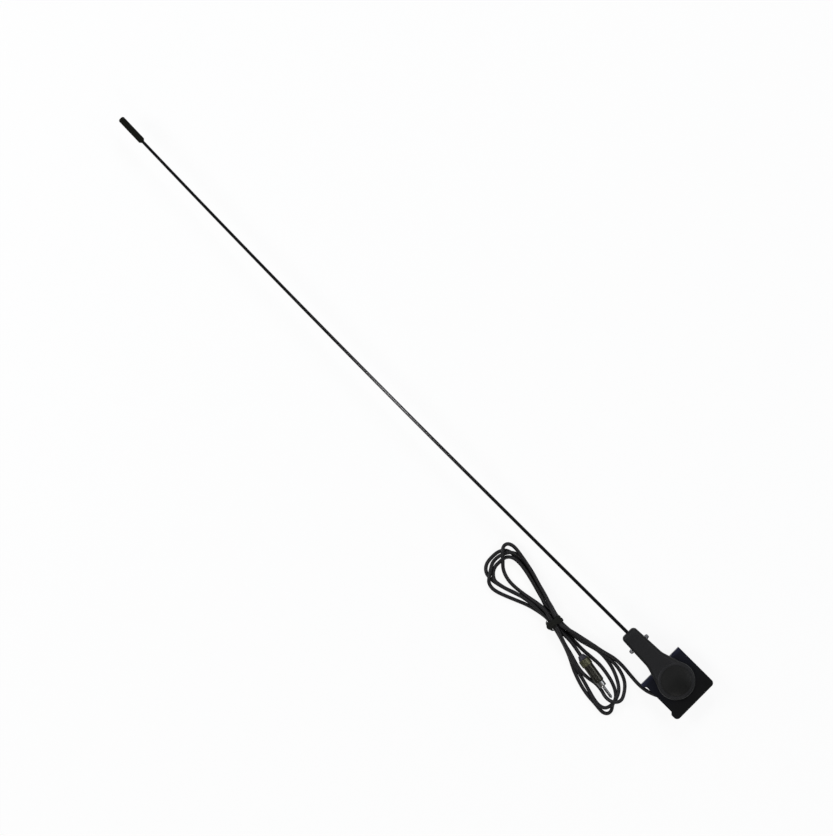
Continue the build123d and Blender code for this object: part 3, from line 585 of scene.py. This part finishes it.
class ANTENNA_OT_stage(bpy.types.Operator):
    """Lay the white table, hang the lamps and the room's light, and set the camera over it"""

    bl_idname = "antenna.stage"
    bl_label = "Table, lamps and camera"

    def execute(self, context):
        settings = context.scene.antenna_stage
        self.lay_table(settings)
        self.light_room(settings)
        self.hang_lamps(settings)
        self.set_camera(context, settings)
        context.scene.view_settings.view_transform = "Standard"
        return {"FINISHED"}

    def lay_table(self, settings):
        """A flat grid at the table's height, white to the camera but for the object's shadow."""
        span = np.linspace(-4.0, 4.0, 9)
        x, y = np.meshgrid(span + PICTURE_CENTRE[0], span + PICTURE_CENTRE[1], indexing="ij")
        just_under = 0.02 * MM
        points = np.stack([x, y, np.full_like(x, TABLE_Z - just_under)], -1)
        table = grid_mesh("table", points)
        s = Shade("table_white")
        paper = s.mix(s.noise(45, 4), rgba(WHITE, 0.80), rgba(WHITE, 0.84))
        card = s.add("ShaderNodeBsdfDiffuse", {}, {"Color": paper})
        shine = {"Color": rgba(WHITE, settings.table_white), "Strength": 1.0}
        bright = s.add("ShaderNodeEmission", {}, shine)
        seen = s.add("ShaderNodeLightPath", {}, {}, out="Is Camera Ray")
        glossy = s.add("ShaderNodeLightPath", {}, {}, out="Is Glossy Ray")
        through = s.add("ShaderNodeLightPath", {}, {}, out="Is Transmission Ray")
        straight_on, mirrored = 0.90, 0.6
        share = (seen * straight_on).most(glossy * mirrored).most(through * straight_on)
        both = s.add("ShaderNodeMixShader", {}, {0: share, 1: card, 2: bright})
        s.add("ShaderNodeOutputMaterial", {}, {"Surface": both})
        table.data.materials.append(s.material)

    def light_room(self, settings):
        """An even pale room, white where the camera looks into it."""
        room = bpy.data.worlds.new("room")
        bpy.context.scene.world = room
        nodes = Nodes(room)
        seen = nodes.add("ShaderNodeLightPath", {}, {}, out="Is Camera Ray")
        walls = rgba((0.97, 0.985, 1.0), settings.room_level)
        colour = nodes.mix(seen, walls, rgba(WHITE))
        light = nodes.add("ShaderNodeBackground", {}, {"Color": colour})
        nodes.add("ShaderNodeOutputWorld", {}, {"Surface": light})

    def hang_lamps(self, settings):
        """Soft boxes round the table, and a narrow strip across the mast for its highlight."""
        right = np.array([math.cos(PICTURE_TURN), math.sin(PICTURE_TURN), 0.0])
        up = np.array([-math.sin(PICTURE_TURN), math.cos(PICTURE_TURN), 0.0])
        centre = np.array([*PICTURE_CENTRE, 0.0])
        boxes = [
            # name, metres to the picture's right and up, height, side, level, colour
            ("box_left", -1.9, 0.3, 1.5, 1.1, 0.33, (0.96, 0.98, 1.0)),
            ("box_right", 1.8, 0.2, 1.5, 1.1, 0.17, (0.93, 0.96, 1.0)),
            ("box_far", 0.1, 2.1, 1.6, 1.0, 0.22, (0.95, 0.97, 1.0)),
            ("box_near", 0.3, -2.0, 1.5, 0.9, 0.14, (1.0, 0.985, 0.95)),
        ]
        lowest_slant = 0.4
        for name, to_right, to_up, height, side, level, colour in boxes:
            place = centre + to_right * right + to_up * up + np.array([0, 0, height])
            distance = np.linalg.norm(place - centre)
            share = level / max(height / distance, lowest_slant)
            lamp = self.lamp(name, settings, share, distance, colour)
            lamp.data.shape = "DISK"
            lamp.data.size = side
            lamp.location = place
            heading = math.atan2(centre[1] - place[1], centre[0] - place[0])
            lamp.rotation_euler = (math.acos(height / distance), 0.0, heading - math.pi / 2)
        height, past_centre = 2.6, 0.046
        strip = self.lamp("strip_over_mast", settings, 0.21, height, (0.97, 0.97, 1.0))
        strip.data.shape = "RECTANGLE"
        strip.data.size = 6.0
        strip.data.size_y = 0.036
        strip.location = (0.0, PICTURE_CENTRE[1] + past_centre, height)

    def lamp(self, name, settings, level, distance, colour):
        """An area lamp that lights white to that level, from that many metres away."""
        light = bpy.data.lights.new(name, "AREA")
        light.color = colour
        light.energy = settings.lamp_level * level * math.pi**2 * distance**2
        lamp = add_object(name, light)
        lamp.visible_camera = False
        return lamp

    def set_camera(self, context, settings):
        """Straight down over the picture's middle, turned so that the mast runs up to the left."""
        lens = bpy.data.cameras.new("camera")
        lens.sensor_fit = "AUTO"
        lens.sensor_width = 36.0
        lens.lens = lens.sensor_width * settings.camera_height / settings.picture_side
        lens.clip_end = 50.0
        camera = add_object("camera", lens)
        camera.location = (*PICTURE_CENTRE, 3.0 * MM + settings.camera_height)
        camera.rotation_euler = (0.0, 0.0, PICTURE_TURN)
        context.scene.camera = camera


class ANTENNA_OT_bracket(bpy.types.Operator):
    """Paint the folded bracket, the gasket under the hub and the cover behind the connections"""

    bl_idname = "antenna.bracket"
    bl_label = "Bracket and rear cover"

    def execute(self, context):
        finish = context.scene.antenna_finish
        dress(["gutter_bracket"], painted_steel(finish.paint, finish.paint_gloss))
        dress(["hub_gasket", "cable_grommet"], rubber("gasket_rubber", GASKET_BLACK))
        cover = moulded_plastic("cover_plastic", finish.plastic, grain=2600, gloss=0.42)
        dress(["rear_cover"], cover)
        return {"FINISHED"}


class ANTENNA_OT_fittings(bpy.types.Operator):
    """Finish the screws, washers, terminals and bushes that hold the antenna together"""

    bl_idname = "antenna.fittings"
    bl_label = "Screws, washers and terminals"

    def execute(self, context):
        zinc = metal("screw_steel", ZINC, gloss=0.32, tarnish=0.35, lines=(1, 1, 0.2))
        dress(
            ["clamp_screw_left", "clamp_screw_right", "pivot_screw", "spring_washer", "pivot_nut"],
            zinc,
        )
        blacked = metal("dark_screw", BLACKED_STEEL, gloss=0.38, lines=(0.2, 1, 1))
        dress(["mast_lock_screw_left", "mast_lock_screw_right", "cover_screws"], blacked)
        brass = metal("contact_brass", BRASS, gloss=0.28, lines=(1, 0.2, 1))
        dress(["mast_socket", "contact_strip", "pivot_washer"], brass)
        tinned = metal("tinned_metal", TIN, gloss=0.35, tarnish=0.25)
        dress(["core_terminal", "ground_terminal", "ground_rivet"], tinned)
        nylon = moulded_plastic("bush_plastic", NYLON, grain=2200, gloss=0.45)
        dress(["insulating_bush", "plug_insulator"], nylon)
        return {"FINISHED"}


class ANTENNA_OT_arm(bpy.types.Operator):
    """Finish the moulded arm with its hub, and the domed cap in it"""

    bl_idname = "antenna.arm"
    bl_label = "Arm and hub cap"

    def execute(self, context):
        finish = context.scene.antenna_finish
        # The arm's top faces get their painted highlight from 1 mm under its highest point.
        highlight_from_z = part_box("mast_arm")[1].z - 1.0 * MM
        arm = moulded_plastic("arm_plastic", finish.plastic, 2400, 0.40, top_z=highlight_from_z)
        dress(["mast_arm"], arm, crease=36.0)
        cap = moulded_plastic("cap_plastic", finish.cap, grain=3000, gloss=0.34)
        dress(["hub_cap"], cap)
        return {"FINISHED"}


class ANTENNA_OT_mast(bpy.types.Operator):
    """Give the whip its black gloss and its tip cap the dull plastic"""

    bl_idname = "antenna.mast"
    bl_label = "Mast and tip"

    def execute(self, context):
        finish = context.scene.antenna_finish
        whip = grid_mesh("whip_rod", self.rod(), close_v=True, cap_ends=True)
        whip.data.materials.append(black_rod(finish.mast, finish.mast_gloss))
        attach(whip, "arm")
        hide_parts("mast_whip")
        tip = moulded_plastic("tip_plastic", finish.tip, grain=2600, gloss=0.40, shine=0.06)
        dress(["mast_tip"], tip)
        return {"FINISHED"}

    def rod(self):
        """The tapered steel rod: point(u, v) = centre(u) + radius(u) * (cos v side + sin v up).

        Its centre runs straight from the arm, then on a wide arc to the right, where its distance
        from the straight line grows with the square of the way along. Its radius falls evenly
        from root to end, and drops by the depth of a rounded edge at both.
        """
        low, high = (np.array(corner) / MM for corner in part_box("mast_whip"))
        root, end, inset = low[1], high[1], 0.01
        y = np.linspace(root + inset, end - inset, 260)
        bowed = end - MAST_STRAIGHT_TO
        share = np.clip((y - MAST_STRAIGHT_TO) / bowed, 0, 1)
        x = MAST_BOW * share**2
        slope = 2 * MAST_BOW * share / bowed
        taper = (MAST_END_RADIUS - MAST_ROOT_RADIUS) * (y - root) / (end - root)
        edge_depth, edge_length = 0.25, 0.4
        edge = np.clip(1 - np.minimum(y - root, end - y) / edge_length, 0, 1) ** 2
        radius = MAST_ROOT_RADIUS + taper - edge_depth * edge
        v = np.linspace(0, 2 * np.pi, 40, endpoint=False)
        side = np.stack([np.ones_like(y), -slope, 0 * y], -1)
        side /= np.linalg.norm(side, axis=1, keepdims=True)
        up = np.array([0, 0, 1.0])
        centre = np.stack([x, y, MAST_HEIGHT + 0 * y], -1)
        ring = side[:, None] * np.cos(v)[:, None] + up * np.sin(v)[:, None]
        return (centre[:, None] + radius[:, None, None] * ring) * MM


class ANTENNA_OT_lead(bpy.types.Operator):
    """Run the coaxial lead from the rear cover through its tied hank and into the plug"""

    bl_idname = "antenna.lead"
    bl_label = "Coaxial lead"

    def execute(self, context):
        settings = context.scene.antenna_cable
        points = self.route() * MM
        curve = bpy.data.curves.new("feed_cable", "CURVE")
        curve.dimensions = "3D"
        spline = curve.splines.new("NURBS")
        spline.points.add(len(points) - 1)
        spline.points.foreach_set("co", np.column_stack([points, np.ones(len(points))]).ravel())
        spline.order_u = 3
        spline.use_endpoint_u = True
        spline.use_smooth = True
        curve.resolution_u = 6
        curve.bevel_depth = settings.diameter / 2
        curve.bevel_resolution = 4
        curve.use_fill_caps = True
        jacket = cable_jacket(settings.jacket, settings.jacket_gloss)
        curve.materials.append(jacket)
        cable = add_object("feed_cable", curve)
        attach(cable, "bracket")
        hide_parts("cable_lead", "cable_hank", "cable_tail")
        dress(["cable_end"], jacket)
        return {"FINISHED"}

    def route(self):
        """The lead's points: out of the cover, then each turn up through the tie, round its far
        loop, back through the tie and round its near loop, and the tail into the plug."""
        points = list(LEAD)
        for up, far_loop, back, near_loop in TURNS:
            points += self.through_tie(up) + far_loop
            points += self.through_tie(back)[::-1] + near_loop
        return np.array(points)

    def through_tie(self, name):
        """A pass through the tie as three points in line, from its near side to its far side."""
        near_x, far_x, z = PASSES[name]
        middle_x = (near_x + far_x) / 2
        return [(near_x, TIE_NEAR_Y, z), (middle_x, TIE_HALF_WAY_Y, z), (far_x, TIE_FAR_Y, z)]


class ANTENNA_OT_tie(bpy.types.Operator):
    """Wind the soft band round the hank's waist and knot it at its left"""

    bl_idname = "antenna.tie"
    bl_label = "Hank tie"

    def execute(self, context):
        settings = context.scene.antenna_cable
        vinyl = rubber("tie_vinyl", settings.band)
        band = grid_mesh("tie_band", self.band(settings), close_u=True, close_v=True)
        self.finish_piece(band, vinyl)
        knot = grid_mesh("tie_knot", self.knot(), close_v=True, cap_ends=True)
        self.finish_piece(knot, vinyl)
        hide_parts("hank_tie")
        for name, way in (("tie_end_far", 1), ("tie_end_near", -1)):
            end = grid_mesh(name, self.end(settings, way), close_v=True, cap_ends=True)
            self.finish_piece(end, vinyl)
        return {"FINISHED"}

    def finish_piece(self, piece, material):
        """Gives a piece of the tie its vinyl, and its place on the bracket's body."""
        piece.data.materials.append(material)
        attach(piece, "bracket")

    def band(self, settings):
        """The band's turns, side by side: an ellipse round the strands with its corners squared
        off, leaning along the hank as it crosses it, thin where the hank lies on it and fuller
        at the sides, with a groove between its turns."""
        t = np.linspace(0, 2 * np.pi, 128, endpoint=False)
        corner, lean = 0.60, 0.17
        x = TIE_MIDDLE[0] + TIE_REACH * power(np.cos(t), corner)
        z = TIE_MIDDLE[2] + TIE_REACH * power(np.sin(t), corner)
        y = TIE_MIDDLE[1] - lean * (x - TIE_MIDDLE[0])
        path = np.stack([x, y, z], -1) * MM
        outward = np.stack([power(np.cos(t), 2 - corner), 0 * t, power(np.sin(t), 2 - corner)], -1)
        outward /= np.linalg.norm(outward, axis=1, keepdims=True)
        side = np.abs(np.cos(t)) ** 1.5
        wide = settings.band_width * (0.68 + 0.24 * side)
        thick = settings.band_thickness
        outer = thick * (0.5 + 1.25 * side + 0.35 * np.clip(np.sin(t), 0, 1))
        inner = thick * 0.5 * np.ones_like(t)
        grooves = settings.band_turns - 1
        return carried(
            path, outward, wide, inner, outer, turns_round=True, square=0.8, grooves=grooves
        )

    def knot(self):
        """A squat lump at the hank's left side with three shallow folds winding round it: a ball
        of radius 1 + fold cos(3 v + 2 u) sin u, scaled out from the hank, along it and down."""
        pole, fold = 0.02, 0.10
        out, along, down = 2.5, 3.4, 3.1
        u = np.linspace(pole, math.pi - pole, 28)[:, None]
        v = np.linspace(0, 2 * np.pi, 40, endpoint=False)[None, :]
        r = 1.0 + fold * np.cos(3 * v + 2 * u) * np.sin(u)
        x = KNOT_MIDDLE[0] + out * r * np.sin(u) * np.cos(v)
        y = KNOT_MIDDLE[1] + along * r * np.cos(u) * np.ones_like(v)
        z = KNOT_MIDDLE[2] - down * r * np.sin(u) * np.sin(v)
        return np.stack([x, y, z], -1) * MM

    def end(self, settings, way):
        """A short free end, to the far side of the knot where way is 1 and to the near side where
        it is -1: it leaves the knot along the hank, sags towards the table and tapers."""
        t = np.linspace(0, 1, 24)
        x = END_ROOT[0] + (1.2 + 0.6 * way) * t - 0.6 * np.sin(math.pi * t)
        y = END_ROOT[1] + way * (1.6 + 4.6 * t)
        z = END_ROOT[2] - 2.2 * t - 2.4 * t**2
        path = np.stack([x, y, z], -1) * MM
        outward = np.stack([-np.ones_like(t), 0.1 * way + 0 * t, 0.5 + 0.6 * t], -1)
        outward /= np.linalg.norm(outward, axis=1, keepdims=True)
        wide = settings.band_width / 2 * (0.85 - 0.20 * t)
        thick = settings.band_thickness / 2 * np.ones_like(t)
        return carried(path, outward, wide, thick, thick)


class ANTENNA_OT_plug(bpy.types.Operator):
    bl_idname = "antenna.plug"
    bl_label = "Plug"

    def execute(self, context):
        finish = context.scene.antenna_finish
        boot = moulded_plastic("plug_boot_vinyl", BOOT_GREY, grain=2600, gloss=0.36)
        dress(["plug_boot"], boot)
        collar = metal("collar_brass", finish.collar, gloss=0.34, tarnish=0.35, lines=(0.3, 1, 1))
        dress(["plug_collar"], collar)
        shell = metal("plug_nickel", finish.shell, gloss=0.26, tarnish=0.35, lines=(1, 0.3, 1))
        dress(["plug_shell"], shell)
        bright = metal("plug_pin_nickel", finish.pin, gloss=0.20, tarnish=0.25, lines=(1, 0.3, 1))
        dress(["plug_sleeve", "plug_pin"], bright)
        return {"FINISHED"}


class ANTENNA_PT_panel(bpy.types.Panel):
    """The antenna's sizes, colours and pieces"""

    bl_label = "Gutter mount antenna"
    bl_idname = "ANTENNA_PT_panel"
    bl_space_type = "VIEW_3D"
    bl_region_type = "UI"
    bl_category = "Antenna"

    def draw(self, context):
        layout = self.layout
        for name in SETTINGS:
            box = layout.box()
            group = getattr(context.scene, name)
            for key in group.bl_rna.properties.keys():
                if key not in {"rna_type", "name"}:
                    box.prop(group, key)
        for operator in OPERATORS:
            layout.operator(operator.bl_idname)


SETTINGS = {
    "antenna_stage": AntennaStageSettings,
    "antenna_cable": AntennaCableSettings,
    "antenna_finish": AntennaFinishSettings,
}
OPERATORS = (
    ANTENNA_OT_stage,
    ANTENNA_OT_lead,
    ANTENNA_OT_tie,
    ANTENNA_OT_bracket,
    ANTENNA_OT_fittings,
    ANTENNA_OT_arm,
    ANTENNA_OT_mast,
    ANTENNA_OT_plug,
)


def register():
    for cls in (*SETTINGS.values(), *OPERATORS, ANTENNA_PT_panel):
        bpy.utils.register_class(cls)
    for name, group in SETTINGS.items():
        setattr(bpy.types.Scene, name, PointerProperty(type=group))


def unregister():
    for name in SETTINGS:
        delattr(bpy.types.Scene, name)
    for cls in reversed((*SETTINGS.values(), *OPERATORS, ANTENNA_PT_panel)):
        bpy.utils.unregister_class(cls)


def main():
    """Builds everything in order."""
    register()
    bpy.ops.antenna.stage()
    bpy.ops.antenna.lead()
    bpy.ops.antenna.tie()
    bpy.ops.antenna.bracket()
    bpy.ops.antenna.fittings()
    bpy.ops.antenna.arm()
    bpy.ops.antenna.mast()
    bpy.ops.antenna.plug()


if __name__ == "__main__":
    main()
